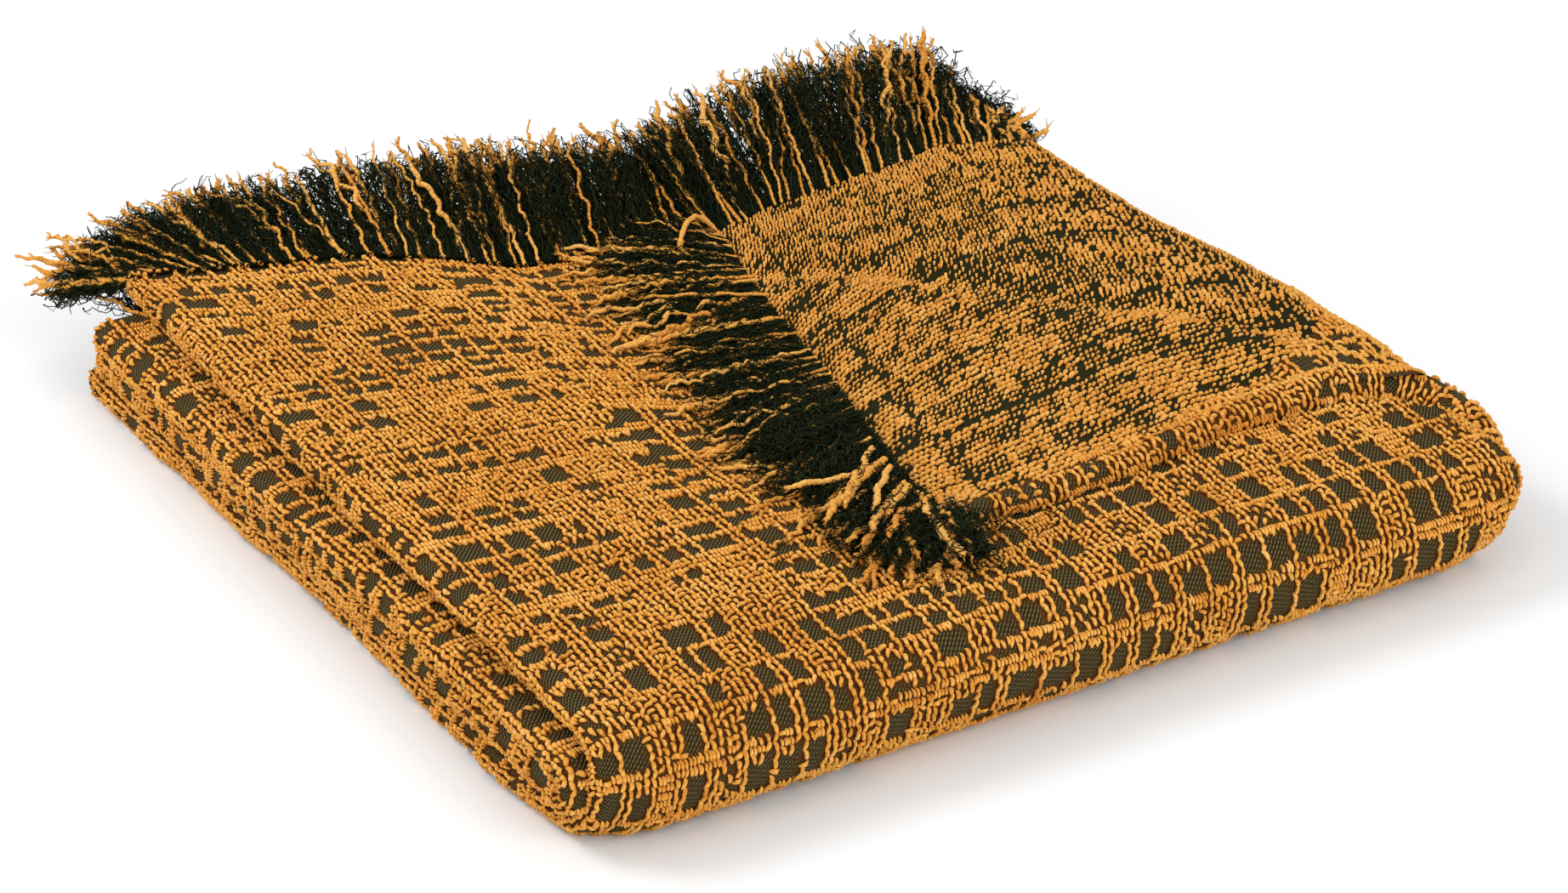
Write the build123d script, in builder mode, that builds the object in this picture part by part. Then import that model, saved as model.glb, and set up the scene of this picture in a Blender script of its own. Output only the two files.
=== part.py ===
from build123d import *
import os

os.makedirs("parts", exist_ok=True)

# ---------------------------------------------------------------------------
# Folded throw blanket with a fringe.  Millimetres, +Z up, resting on z = 0.
# +X runs along the rounded front fold (left to right), +Y runs to the fringed
# back.  The cloth is a 1300 x 1700 rectangle: thirds across make the 43 cm
# width, quarters along make the 42 cm depth, so the stack is twelve layers.
# Every body below is one stretch of that cloth between two folds, or one row
# of fringe.
# ---------------------------------------------------------------------------
run_thickness = 12.7      # three layers of cloth in one run
run_gap = 0.3             # air between two runs
pitch = run_thickness + run_gap
stack_height = 4 * run_thickness + 3 * run_gap      # 51.7

left_x = -221.0           # left side of the stack
right_x = 223.0           # right side of the stack
fold_y = -209.0           # where the runs end and the front folds begin
back_left_y = 206.0       # back of the stack at its left side
back_right_y = 158.0      # back of the stack at its right side: a shorter side

flap_thickness = 4.8      # the single turned-back layer with its loft
flap_z = stack_height + run_gap
cuff_height = 6.4         # turned-up rim along the flap's front edge

fringe_thickness = 4.0    # the mat of fine dark yarns
strand_radius = 1.5       # one thick twisted strand
fringe_length = 68.0

corner_r = 12.0           # soft corner of a folded run, seen from above

# plan outlines: left back corner to right back corner of each run
bottom_back = [(left_x, back_left_y - 12), (right_x, back_right_y - 12)]
third_back = [(-214, 196), (-100, 182), (0, 150), (222, 132)]
top_back = [(-204, 204), (-147, 180), (-112, 167), (-79, 141), (-59, 117), (28, 112), (222, 116)]

flap_left_edge = [(28, 103), (16, 53), (1, -29), (-7, -68), (-22, -141), (-20, -158)]
flap_front_edge = [(14, -167), (64, -168), (122, -158), (173, -154), (205, -172)]
flap_right_edge = [(214, -127), (217, -46), (219, 116)]
flap_back_edge = [(161, 129), (114, 121), (72, 116)]


# ---- the four runs of the lengthwise folding -------------------------------
with BuildPart() as bottom_panel:
    with BuildSketch(Plane.XY) as bottom_outline:
        with BuildLine():
            Polyline((left_x, fold_y), (right_x, fold_y), bottom_back[1], bottom_back[0], close=True)
        make_face()
    extrude(amount=run_thickness)
bottom_panel.part.label = "bottom_panel"
export_step(bottom_panel.part, "parts/bottom_panel.step")

with BuildPart() as second_panel:
    with BuildSketch(Plane.XY.offset(pitch)) as second_outline:
        with BuildLine():
            Polyline((left_x + 2, fold_y), (right_x, fold_y), bottom_back[1],
                     (left_x + 2, back_left_y - 12), close=True)
        make_face()
    extrude(amount=run_thickness)
second_panel.part.label = "second_panel"
export_step(second_panel.part, "parts/second_panel.step")

with BuildPart() as third_panel:
    with BuildSketch(Plane.XY.offset(2 * pitch)) as third_outline:
        with BuildLine():
            Polyline((left_x + 7, fold_y), (right_x - 1, fold_y), *reversed(third_back), close=True)
        make_face()
        fillet(third_outline.vertices().group_by(Axis.Y)[-1], corner_r)
    extrude(amount=run_thickness)
third_panel.part.label = "third_panel"
export_step(third_panel.part, "parts/third_panel.step")

with BuildPart() as top_panel:
    with BuildSketch(Plane.XY.offset(3 * pitch)) as top_outline:
        with BuildLine():
            Polyline((left_x + 14, fold_y), (right_x - 1, fold_y), *reversed(top_back), close=True)
        make_face()
        fillet(top_outline.vertices().group_by(Axis.Y)[-1], corner_r)
    extrude(amount=run_thickness)
    fillet(top_panel.faces().sort_by(Axis.Z)[-1].edges().sort_by(Axis.X)[0], run_thickness * 0.8)
top_panel.part.label = "top_panel"
export_step(top_panel.part, "parts/top_panel.step")

# ---- the folds that join the runs ------------------------------------------
outer_fold_r = stack_height / 2
inner_hollow_r = outer_fold_r - run_thickness

# outer front fold: a half tube from the top run round to the bottom run
with BuildPart() as front_fold:
    with BuildSketch(Plane((left_x + 2, fold_y - 0.2, outer_fold_r), x_dir=(0, 1, 0), z_dir=(1, 0, 0))) as fold_section:
        with BuildLine():
            ThreePointArc((0, outer_fold_r), (-outer_fold_r, 0), (0, -outer_fold_r))
            Line((0, -outer_fold_r), (0, -inner_hollow_r))
            ThreePointArc((0, -inner_hollow_r), (-inner_hollow_r, 0), (0, inner_hollow_r))
            Line((0, inner_hollow_r), (0, outer_fold_r))
        make_face()
    extrude(amount=right_x - left_x - 3)
front_fold.part.label = "front_fold"
export_step(front_fold.part, "parts/front_fold.step")

# inner front fold: joins the second and third runs inside the outer one
inner_fold_r = inner_hollow_r - run_gap
with BuildPart() as inner_front_fold:
    with BuildSketch(Plane((left_x + 9, fold_y - 0.2, outer_fold_r), x_dir=(0, 1, 0), z_dir=(1, 0, 0))) as inner_section:
        with BuildLine():
            ThreePointArc((0, inner_fold_r), (-inner_fold_r, 0), (0, -inner_fold_r))
            Line((0, -inner_fold_r), (0, inner_fold_r))
        make_face()
    extrude(amount=right_x - left_x - 12)
inner_front_fold.part.label = "inner_front_fold"
export_step(inner_front_fold.part, "parts/inner_front_fold.step")

# back fold: joins the bottom and second runs along the slanted back edge
back_fold_r = run_thickness + run_gap / 2
back_line = Vector(bottom_back[1][0] - bottom_back[0][0], bottom_back[1][1] - bottom_back[0][1], 0)
back_out = Vector(-back_line.Y, back_line.X, 0).normalized()
back_start = Vector(bottom_back[0][0], bottom_back[0][1], back_fold_r) + back_out * 0.3
with BuildPart() as back_fold:
    with BuildSketch(Plane(back_start, x_dir=back_out, z_dir=back_line.normalized())) as back_section:
        with BuildLine():
            ThreePointArc((0, back_fold_r), (back_fold_r, 0), (0, -back_fold_r))
            Line((0, -back_fold_r), (0, back_fold_r))
        make_face()
    extrude(amount=back_line.length)
back_fold.part.label = "back_fold"
export_step(back_fold.part, "parts/back_fold.step")

# ---- the right third, turned back over the top -----------------------------
with BuildPart() as turned_back_flap:
    with BuildSketch(Plane.XY.offset(flap_z)) as flap_outline:
        with BuildLine():
            Polyline(*flap_left_edge, *flap_front_edge, *flap_right_edge, *flap_back_edge, close=True)
        make_face()
    extrude(amount=flap_thickness)
turned_back_flap.part.label = "turned_back_flap"
export_step(turned_back_flap.part, "parts/turned_back_flap.step")

# rim of the other face, turned up along the flap's front edge
with BuildPart() as flap_front_cuff:
    with BuildSketch(Plane.XY.offset(flap_z)) as cuff_outline:
        with BuildLine():
            Polyline((-20, -158.5), (14, -167.5), (64, -168.5), (122, -158.5), (173, -154.5), (205, -172.5),
                     (221, -194), (206, -188), (173, -170), (122, -171), (64, -178), (14, -175),
                     (-23, -164), close=True)
        make_face()
    extrude(amount=cuff_height)
flap_front_cuff.part.label = "flap_front_cuff"
export_step(flap_front_cuff.part, "parts/flap_front_cuff.step")

# side fold: brings the flap up round the right side of the stack
side_fold_length = 296.0
side_t = 4.0
with BuildPart() as flap_side_fold:
    with BuildSketch(Plane((0, 112, 0), x_dir=(1, 0, 0), z_dir=(0, -1, 0))) as side_section:
        with BuildLine():
            Line((219.6, stack_height + 5), (219.6, stack_height + 0.6))
            Line((219.6, stack_height + 0.6), (222.4, stack_height + 0.6))
            Line((222.4, stack_height + 0.6), (223.6, stack_height - 2))
            Line((223.6, stack_height - 2), (223.6, 14))
            Line((223.6, 14), (223.6 + side_t, 18))
            Line((223.6 + side_t, 18), (223.6 + side_t, stack_height - 4))
            ThreePointArc((223.6 + side_t, stack_height - 4), (225.8, stack_height + 2.2), (219.6, stack_height + 5))
        make_face()
    extrude(amount=side_fold_length)
flap_side_fold.part.label = "flap_side_fold"
export_step(flap_side_fold.part, "parts/flap_side_fold.step")


# ---- fringes ----------------------------------------------------------------
def fringe_stations(base, heading, rise, length):
    """Base point, outward unit vector and rise of a fringe at each station."""
    rows = []
    for (bx, by, bz), (hx, hy), up, ln in zip(base, heading, rise, length):
        out = Vector(hx, hy, 0).normalized()
        rows.append((Vector(bx, by, bz), out, up, ln))
    return rows


def between(rows, t):
    """A station interpolated along the row, t from 0 to 1."""
    s = t * (len(rows) - 1)
    i = min(int(s), len(rows) - 2)
    f = s - i
    b = rows[i][0] * (1 - f) + rows[i + 1][0] * f
    o = (rows[i][1] * (1 - f) + rows[i + 1][1] * f).normalized()
    return b, o, rows[i][2] * (1 - f) + rows[i + 1][2] * f, rows[i][3] * (1 - f) + rows[i + 1][3] * f


back_rows = fringe_stations(
    base=[(-206, 206, 47), (-176, 194, 47), (-147, 182, 47), (-112, 169, 47), (-79, 143, 47), (-59, 119, 47)],
    heading=[(-0.75, 0.65), (-0.45, 0.9), (0.0, 1.0), (0.15, 1.0), (0.2, 1.0), (0.1, 1.0)],
    rise=[6, 20, 24, 30, 32, 34], length=[54, fringe_length, fringe_length, fringe_length, fringe_length, fringe_length])

flap_back_rows = fringe_stations(
    base=[(29, 105, 52.5), (72, 117.5, 52.5), (114, 122.5, 52.5), (161, 130.5, 52.5), (217, 118, 52.5)],
    heading=[(-0.05, 1.0), (0.25, 1.0), (0.3, 1.0), (0.3, 1.0), (0.35, 1.0)],
    rise=[34, 36, 38, 40, 8], length=[60, 60, 62, 62, 54])

side_rows = fringe_stations(
    base=[(26, 102, 52.2), (15, 53, 52.2), (0, -29, 52.2), (-8.5, -68, 52.2), (-23.5, -141, 52.2)],
    heading=[(-0.75, 0.6), (-1.0, 0.1), (-1.0, -0.1), (-1.0, -0.3), (-0.85, -0.55)],
    rise=[6, 1, 1, 1, 0.5], length=[62, 66, 66, 64, 56])

inner_rows = fringe_stations(
    base=[(-205, 199, 28), (-100, 184, 28), (0, 152, 28), (110, 142.5, 28), (214, 134, 28)],
    heading=[(-0.2, 1.0), (0.0, 1.0), (0.0, 1.0), (0.05, 1.0), (0.15, 1.0)],
    rise=[4, 8, 14, 12, 2], length=[56, 60, 62, 60, 54])


# dark yarns: one thin mat per row, lofted through its stations
with BuildPart() as back_fringe_dark_yarns:
    for b, out, up, ln in back_rows:
        with BuildSketch(Plane(b, x_dir=out, z_dir=out.cross(Vector(0, 0, 1)))):
            with BuildLine():
                Polyline((0, 0), (ln * 0.9, up), (ln * 0.9, up + fringe_thickness), (0, fringe_thickness), close=True)
            make_face()
    loft(ruled=True)
back_fringe_dark_yarns.part.label = "back_fringe_dark_yarns"
export_step(back_fringe_dark_yarns.part, "parts/back_fringe_dark_yarns.step")

with BuildPart() as flap_back_fringe_dark_yarns:
    for b, out, up, ln in flap_back_rows:
        with BuildSketch(Plane(b, x_dir=out, z_dir=out.cross(Vector(0, 0, 1)))):
            with BuildLine():
                Polyline((0, 0), (ln * 0.9, up), (ln * 0.9, up + fringe_thickness), (0, fringe_thickness), close=True)
            make_face()
    loft(ruled=True)
flap_back_fringe_dark_yarns.part.label = "flap_back_fringe_dark_yarns"
export_step(flap_back_fringe_dark_yarns.part, "parts/flap_back_fringe_dark_yarns.step")

with BuildPart() as flap_side_fringe_dark_yarns:
    for b, out, up, ln in side_rows:
        with BuildSketch(Plane(b, x_dir=out, z_dir=out.cross(Vector(0, 0, 1)))):
            with BuildLine():
                Polyline((0, 0), (ln, up), (ln, up + fringe_thickness), (0, fringe_thickness), close=True)
            make_face()
    loft(ruled=True)
flap_side_fringe_dark_yarns.part.label = "flap_side_fringe_dark_yarns"
export_step(flap_side_fringe_dark_yarns.part, "parts/flap_side_fringe_dark_yarns.step")

with BuildPart() as inner_end_fringe_dark_yarns:
    for b, out, up, ln in inner_rows:
        with BuildSketch(Plane(b, x_dir=out, z_dir=out.cross(Vector(0, 0, 1)))):
            with BuildLine():
                Polyline((0, 0), (ln, up), (ln, up + fringe_thickness), (0, fringe_thickness), close=True)
            make_face()
    loft(ruled=True)
inner_end_fringe_dark_yarns.part.label = "inner_end_fringe_dark_yarns"
export_step(inner_end_fringe_dark_yarns.part, "parts/inner_end_fringe_dark_yarns.step")


# thick twisted strands: separate rods lying on top of each mat
back_strands = 31
with BuildPart() as back_fringe_twisted_strands:
    for k in range(back_strands):
        b, out, up, ln = between(back_rows, (k + 0.5) / back_strands)
        run = Vector(out.X * ln, out.Y * ln, up / 0.9)
        start = b + Vector(0, 0, fringe_thickness + strand_radius + 1.6)
        with BuildSketch(Plane(start, z_dir=run.normalized())):
            Circle(strand_radius)
        extrude(amount=fringe_length if ln > 60 else ln)
back_fringe_twisted_strands.part.label = "back_fringe_twisted_strands"
export_step(back_fringe_twisted_strands.part, "parts/back_fringe_twisted_strands.step")

flap_back_strands = 38
with BuildPart() as flap_back_fringe_twisted_strands:
    for k in range(flap_back_strands):
        b, out, up, ln = between(flap_back_rows, (k + 0.5) / flap_back_strands)
        run = Vector(out.X * ln, out.Y * ln, up / 0.9)
        start = b + Vector(0, 0, fringe_thickness + strand_radius + 1.6)
        with BuildSketch(Plane(start, z_dir=run.normalized())):
            Circle(strand_radius)
        extrude(amount=run.length)
flap_back_fringe_twisted_strands.part.label = "flap_back_fringe_twisted_strands"
export_step(flap_back_fringe_twisted_strands.part, "parts/flap_back_fringe_twisted_strands.step")

flap_side_strands = 42
with BuildPart() as flap_side_fringe_twisted_strands:
    for k in range(flap_side_strands):
        b, out, up, ln = between(side_rows, (k + 0.5) / flap_side_strands)
        run = Vector(out.X * ln, out.Y * ln, up)
        start = b + Vector(0, 0, fringe_thickness + strand_radius + 0.4)
        with BuildSketch(Plane(start, z_dir=run.normalized())):
            Circle(strand_radius)
        extrude(amount=run.length)
flap_side_fringe_twisted_strands.part.label = "flap_side_fringe_twisted_strands"
export_step(flap_side_fringe_twisted_strands.part, "parts/flap_side_fringe_twisted_strands.step")

inner_strands = 44
with BuildPart() as inner_end_fringe_twisted_strands:
    for k in range(inner_strands):
        b, out, up, ln = between(inner_rows, (k + 0.5) / inner_strands)
        run = Vector(out.X * ln, out.Y * ln, up)
        start = b + Vector(0, 0, fringe_thickness + strand_radius + 0.5)
        with BuildSketch(Plane(start, z_dir=run.normalized())):
            Circle(strand_radius)
        extrude(amount=run.length)
inner_end_fringe_twisted_strands.part.label = "inner_end_fringe_twisted_strands"
export_step(inner_end_fringe_twisted_strands.part, "parts/inner_end_fringe_twisted_strands.step")

# one strand worked loose at the flap's back corner, standing in a loop
loop_r = 9.0
with BuildPart() as loose_yarn_loop:
    with BuildLine(Plane((14, 96, 66), x_dir=(0.9, 0.44, 0), z_dir=(0.44, -0.9, 0))) as loop_path:
        ThreePointArc((-loop_r, 0), (0, loop_r), (loop_r, 0))
    with BuildSketch(Plane(loop_path.line @ 0, z_dir=loop_path.line % 0)):
        Circle(strand_radius)
    sweep()
loose_yarn_loop.part.label = "loose_yarn_loop"
export_step(loose_yarn_loop.part, "parts/loose_yarn_loop.step")
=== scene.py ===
import bpy
import math
import numpy as np
from mathutils import Matrix, Vector


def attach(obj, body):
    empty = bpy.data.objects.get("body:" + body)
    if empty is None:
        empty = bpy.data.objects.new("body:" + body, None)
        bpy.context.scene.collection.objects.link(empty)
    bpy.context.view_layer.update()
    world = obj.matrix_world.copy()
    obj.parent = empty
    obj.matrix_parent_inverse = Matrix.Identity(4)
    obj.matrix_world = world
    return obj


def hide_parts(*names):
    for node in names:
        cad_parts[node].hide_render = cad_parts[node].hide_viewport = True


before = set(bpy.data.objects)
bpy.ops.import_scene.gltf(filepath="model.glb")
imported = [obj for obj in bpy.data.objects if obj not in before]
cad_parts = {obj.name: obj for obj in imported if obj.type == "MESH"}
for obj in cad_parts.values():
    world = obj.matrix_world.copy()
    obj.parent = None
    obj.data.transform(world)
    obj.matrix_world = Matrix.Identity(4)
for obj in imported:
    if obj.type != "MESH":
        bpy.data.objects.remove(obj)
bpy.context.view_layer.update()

MM = 0.001

# ---------------------------------------------------------------- sizes, mm
H = 51.7                 # height of the four folded runs
RUN = 12.7               # thickness of one run
R_OUT = H / 2            # outer front fold
YC = -209.0              # axis of the front folds
XL, XR0, XR_A = -203.0, 205.0, 16.0
PU, PV = 3.15, 3.35      # yarn pitch of the patchwork face
PBX, PBY = 2.5, 3.25    # dash pitch of the heathered face
LT = 405.0               # reference length of the top run


def smooth(x, a, b):
    t = np.clip((np.asarray(x, float) - a) / (b - a), 0, 1)
    return t * t * (3 - 2 * t)


class Noise:
    """Smooth value noise in two dimensions, seeded."""

    def __init__(self, seed, n=64):
        self.g = np.random.default_rng(seed).uniform(-1, 1, (n, n))
        self.n = n

    def __call__(self, x, y):
        x, y = np.asarray(x, float), np.asarray(y, float)
        i, j = np.floor(x).astype(int), np.floor(y).astype(int)
        fx, fy = x - i, y - j
        fx, fy = fx * fx * (3 - 2 * fx), fy * fy * (3 - 2 * fy)
        n, g = self.n, self.g
        a, b = g[i % n, j % n], g[(i + 1) % n, j % n]
        c, d = g[i % n, (j + 1) % n], g[(i + 1) % n, (j + 1) % n]
        return (a * (1 - fx) + b * fx) * (1 - fy) + (c * (1 - fx) + d * fx) * fy


n1, n2, n3, n4 = Noise(3), Noise(11), Noise(23), Noise(41)


# ------------------------------------------------------------------ surfaces
class Surf:
    """A sheet of cloth: points and normals on a regular grid of cloth coordinates (u, v) in mm."""

    def __init__(self, fn, u0, u1, v0, v1, step=2.0, flip=False):
        self.u0, self.v0 = u0, v0
        nu, nv = max(2, int(round((u1 - u0) / step))), max(2, int(round((v1 - v0) / step)))
        self.su, self.sv = (u1 - u0) / nu, (v1 - v0) / nv
        self.nu, self.nv = nu, nv
        u = u0 + self.su * np.arange(nu + 1)
        v = v0 + self.sv * np.arange(nv + 1)
        self.U, self.V = np.meshgrid(u, v, indexing="ij")
        self.P = fn(self.U, self.V)
        du, dv = np.gradient(self.P, axis=0), np.gradient(self.P, axis=1)
        n = np.cross(du, dv)
        ln = np.linalg.norm(n, axis=2, keepdims=True)
        n = n / np.maximum(ln, 1e-9)
        self.N = -n if flip else n

    def at(self, u, v, w):
        a = np.clip((u - self.u0) / self.su, 0, self.nu - 1e-6)
        b = np.clip((v - self.v0) / self.sv, 0, self.nv - 1e-6)
        i, j = a.astype(int), b.astype(int)
        fa, fb = (a - i)[..., None], (b - j)[..., None]

        def mix(g):
            return ((g[i, j] * (1 - fa) + g[i + 1, j] * fa) * (1 - fb)
                    + (g[i, j + 1] * (1 - fa) + g[i + 1, j + 1] * fa) * fb)

        return mix(self.P) + np.asarray(w)[..., None] * mix(self.N)

    def grid(self, every=1, keep=None):
        """Vertices, quads and cloth coordinates of the sheet itself."""
        P, U, V = self.P[::every, ::every], self.U[::every, ::every], self.V[::every, ::every]
        a, b = P.shape[:2]
        idx = np.arange(a * b).reshape(a, b)
        q = np.stack([idx[:-1, :-1], idx[1:, :-1], idx[1:, 1:], idx[:-1, 1:]], -1).reshape(-1, 4)
        if keep is not None:
            q = q[keep(U[:-1, :-1], V[:-1, :-1]).ravel()]
        return P.reshape(-1, 3), q, np.stack([U.ravel(), V.ravel()], 1)


def back_edge(x):
    """Where the top run ends at the back, for each x."""
    return np.interp(x, [-230, -204, -175, -147, -112, -79, -59, -30, 28, 120, 230],
                     [209, 206, 192, 181, 167, 142, 119, 112, 110, 116, 118])


def low_back_edge(x):
    return np.interp(x, [-240, 240], [204.0, 154.0])


def top_swell(x, y):
    """Soft unevenness of the top of the stack."""
    s = 1.7 * n1(x / 85 + 7.3, y / 70 + 2.1) + 1.0 * n2(x / 38, y / 34) + 0.35 * n3(x / 16, y / 15)
    s = s - 2.2 * np.exp(-((y - YC - 6) / 26.0) ** 2)
    return s


SL = math.pi * 7.0        # length of cloth round one left roll


def outer(u, v):
    """Top run, outer front fold and bottom run.  u = 0 at the left ridge, negative round the left roll."""
    arc = math.pi * R_OUT
    th = np.clip(v / R_OUT, 0, math.pi)
    down = smooth(th, 0, math.pi)
    W = XR0 - XL
    # cross-section (x, n)
    phi = np.clip(-u / 7.0, 0, math.pi)
    rx = 6.0 + 2.0 * down
    xl = XL - 11.0 * down - 1.5 * n4(v / 60.0, 3.0) * (1 - 0.4 * down)
    xl = xl - 9.0 * down * smooth(v - arc, 120, 400)
    x_mid = xl + np.clip(u, 0, W) * (XR0 - xl) / W
    # the bottom run leaves only a shallow crease above it
    low = smooth(th, 1.6, 2.9)
    bulge = np.where(phi > math.pi / 2, np.sin(phi) + low * 0.62 * (1 - np.sin(phi)), np.sin(phi))
    x = x_mid - rx * bulge + np.clip(-u - SL, 0, None)
    psi = np.clip((u - W) / 24.0, 0, math.pi / 2)
    n = RUN / 2 * np.cos(phi)
    # the right end rounds down to the middle of the stack
    x = x + XR_A * np.sin(psi)
    n = n - R_OUT * (1 - np.cos(psi))
    # the path of the run, seen from the side
    t = np.clip(-v / LT, 0, None)
    D = back_edge(x) - YC
    y_top = YC + LT * t + (D - LT) * t ** 1.35
    s = np.clip(v - arc, 0, None)
    tb = s / LT
    y_bot = YC + LT * tb + (low_back_edge(x) - YC - LT) * tb ** 1.3
    Rm = R_OUT - RUN / 2
    ny, nz = -np.sin(th), np.cos(th)
    py = np.where(v < 0, y_top, np.where(v > arc, y_bot, YC)) - Rm * np.sin(th)
    pz = H / 2 + Rm * np.cos(th)
    y = py + n * ny
    z = pz + n * nz
    # the fold bulges a little low and wavers along its length
    front = np.sin(th) ** 2
    y = y - front * (1.6 + 1.5 * n2(x / 70.0, th) + 0.6 * n3(x / 24.0, th * 2 + 4))
    lift = (1 - smooth(th, 0.0, 2.2)) * np.cos(phi) * np.cos(psi)
    z = z + lift * top_swell(x, y)
    # soft unevenness of the rolls at the left
    roll = np.sin(phi) * (1.2 * n3(v / 22.0, phi) + 1.2 * n1(v / 55.0, phi * 0.6 + 5))
    x = x - roll
    # both lower front corners are rounded
    near = smooth(th, 0.7, 2.2) * np.clip(1 - np.clip(v - arc, 0, None) / 55.0, 0, 1) ** 1.5
    cl = np.clip(1 - u / 28.0, 0, 1) ** 2
    cr = np.clip((u - W + 30) / 60.0, 0, 1) ** 1.6
    y = y + near * (7.5 * cl + 17.0 * cr)
    x = x + near * (5.5 * cl - 9.0 * cr)
    x = x - 8.0 * smooth(np.where(v < 0, -v, v - arc), 170, 320) * smooth(u, W - 50, W + 25)
    z = np.maximum(z, 0.25 + 0.0 * z)
    return np.stack([x, y, z], -1)


def inner(u, v):
    """Second and third runs, seen only at their left rolls and inside the outer fold."""
    Ri = RUN + 0.15
    arc = math.pi * Ri
    th = np.clip(v / Ri, 0, math.pi)
    phi = np.clip(-u / 7.0, 0, math.pi)
    y0 = np.where(v < 0, -v, np.clip(v - arc, 0, None))
    skew = smooth(y0, 0, 410)
    upper = 1 - smooth(th, 0.6, 2.4)
    sp = np.sin(phi)
    # the two inner runs swell as one broad roll: open above, nearly closed in the middle and below
    fill = 0.34 + 0.50 * smooth(y0, 60, 240)
    bulge = np.where(phi > math.pi / 2, sp + fill * (1 - sp), sp + (1 - upper) * 0.62 * (1 - sp))
    xl = -211.5 - 10.0 * skew - 1.5 * n4(y0 / 50.0, 9.0)
    x = xl + np.clip(u, 0, None) - 8.5 * bulge + np.clip(-u - SL, 0, None)
    n = RUN / 2 * np.cos(phi)
    t = np.clip(-v / LT, 0, None)
    y_top = YC + LT * t
    tb = np.clip(v - arc, 0, None) / LT
    y_bot = YC + LT * tb
    Rm = Ri - RUN / 2
    py = np.where(v < 0, y_top, np.where(v > arc, y_bot, YC)) - Rm * np.sin(th)
    pz = H / 2 + Rm * np.cos(th)
    y, z = py - n * np.sin(th), pz + n * np.cos(th)
    x = x - sp * (1.0 * n3(v / 20.0, phi + 3) + 1.0 * n2(v / 48.0, phi))
    # the upper side sinks into the groove under the top run
    z = z - 1.5 * upper * smooth(u, -9, 1)
    return np.stack([x, y, z], -1)


def polyline(points, smooth_mm=10.0):
    """Evenly sampled smooth curve through points, with its length."""
    p = np.array(points, float)
    d = np.concatenate([[0], np.cumsum(np.linalg.norm(np.diff(p, axis=0), axis=1))])
    s = np.linspace(0, d[-1], 400)
    q = np.stack([np.interp(s, d, p[:, k]) for k in range(p.shape[1])], 1)
    k = max(1, int(smooth_mm / (d[-1] / 399)))
    w = np.hanning(2 * k + 3)[1:-1]
    w /= w.sum()
    pad = np.concatenate([2 * q[:1] - q[k:0:-1], q, 2 * q[-1:] - q[-2:-k - 2:-1]])
    q = np.stack([np.convolve(pad[:, j], w, "valid") for j in range(p.shape[1])], 1)
    return q, d[-1]


def along(curve, t):
    """Points at t from 0 to 1."""
    t = np.clip(np.asarray(t, float), 0, 1) * (len(curve) - 1)
    i = np.minimum(t.astype(int), len(curve) - 2)
    f = (t - i)[..., None]
    return curve[i] * (1 - f) + curve[i + 1] * f


flap_left, _ = polyline([(-21, -160), (-22, -141), (-7, -68), (1, -29), (16, 53), (28, 103)])
flap_right, _ = polyline([(205, -166), (204, -127), (203.5, -46), (201, 30), (196.5, 116)])
flap_front, _ = polyline([(-21, -160), (14, -164), (64, -161), (122, -153), (173, -152), (205, -166)])
flap_back, _ = polyline([(28, 103), (72, 117), (114, 121), (161, 130), (196.5, 116)])
FW, FD = 205.0, 285.0     # the flap in its own cloth coordinates


def crease(u, v):
    """Distance from the soft diagonal crease across the flap, in cloth coordinates."""
    return ((u - 33.0) * 163.0 + (v - 208.0) * 155.0) / 225.0


def flap(u, v):
    """The turned-back layer.  u from its fringed left edge to the right, v from its front rim to the back."""
    a, b = np.clip(u / FW, 0, 1), np.clip(v / FD, 0, 1)
    # cross yarns leave the left edge nearly square to it, then bend to follow the right side
    bb = np.clip(b + 0.10 * np.sin(math.pi * b) * (1 - a) * a * 3.2, 0, 1)
    L, R = along(flap_left, bb), along(flap_right, bb)
    F, B = along(flap_front, a), along(flap_back, a)
    A_, B_ = a[..., None], bb[..., None]
    c00, c10, c01, c11 = flap_left[0], flap_right[0], flap_left[-1], flap_right[-1]
    xy = ((1 - A_) * L + A_ * R + (1 - B_) * F + B_ * B
          - ((1 - A_) * (1 - B_) * c00 + A_ * (1 - B_) * c10 + (1 - A_) * B_ * c01 + A_ * B_ * c11))
    x, y = xy[..., 0], xy[..., 1]
    z = H + 4.6 + 1.3 * n1(x / 60 + 3.2, y / 55 + 8.8) + 0.7 * n2(x / 26 + 5, y / 24) + 0.6 * top_swell(x, y)
    z = z + 2.2 * smooth(v, 16, 0) + 1.2 * smooth(a, 0.75, 1.0)
    z = z - 2.6 * smooth(u, 14, 0)
    k = crease(u, v)
    z = z - 1.7 * np.exp(-(k / 7.0) ** 2) + 1.0 * np.exp(-((k + 15.0) / 11.0) ** 2) + 0.7 * np.exp(-((k - 17.0) / 12.0) ** 2)
    # over the right side and down it
    over = np.clip(u - FW, 0, None)
    psi = np.clip(over / 30.0, 0, math.pi / 2)
    x = x + (22.5 - 5.0 * smooth(y, -20, 110) - 4.0 * np.exp(-((y - 40) / 42.0) ** 2)) * np.sin(psi)
    z = z - 31.0 * (1 - np.cos(psi)) - np.clip(over - 30.0 * math.pi / 2, 0, None)
    x = x + 0.8 * np.sin(psi) * n3(y / 22.0, u / 30.0)
    z = z - 1.8 * np.exp(-((y - 40) / 42.0) ** 2) * smooth(a, 0.7, 1.0)
    return np.stack([x, y, z], -1)


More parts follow.
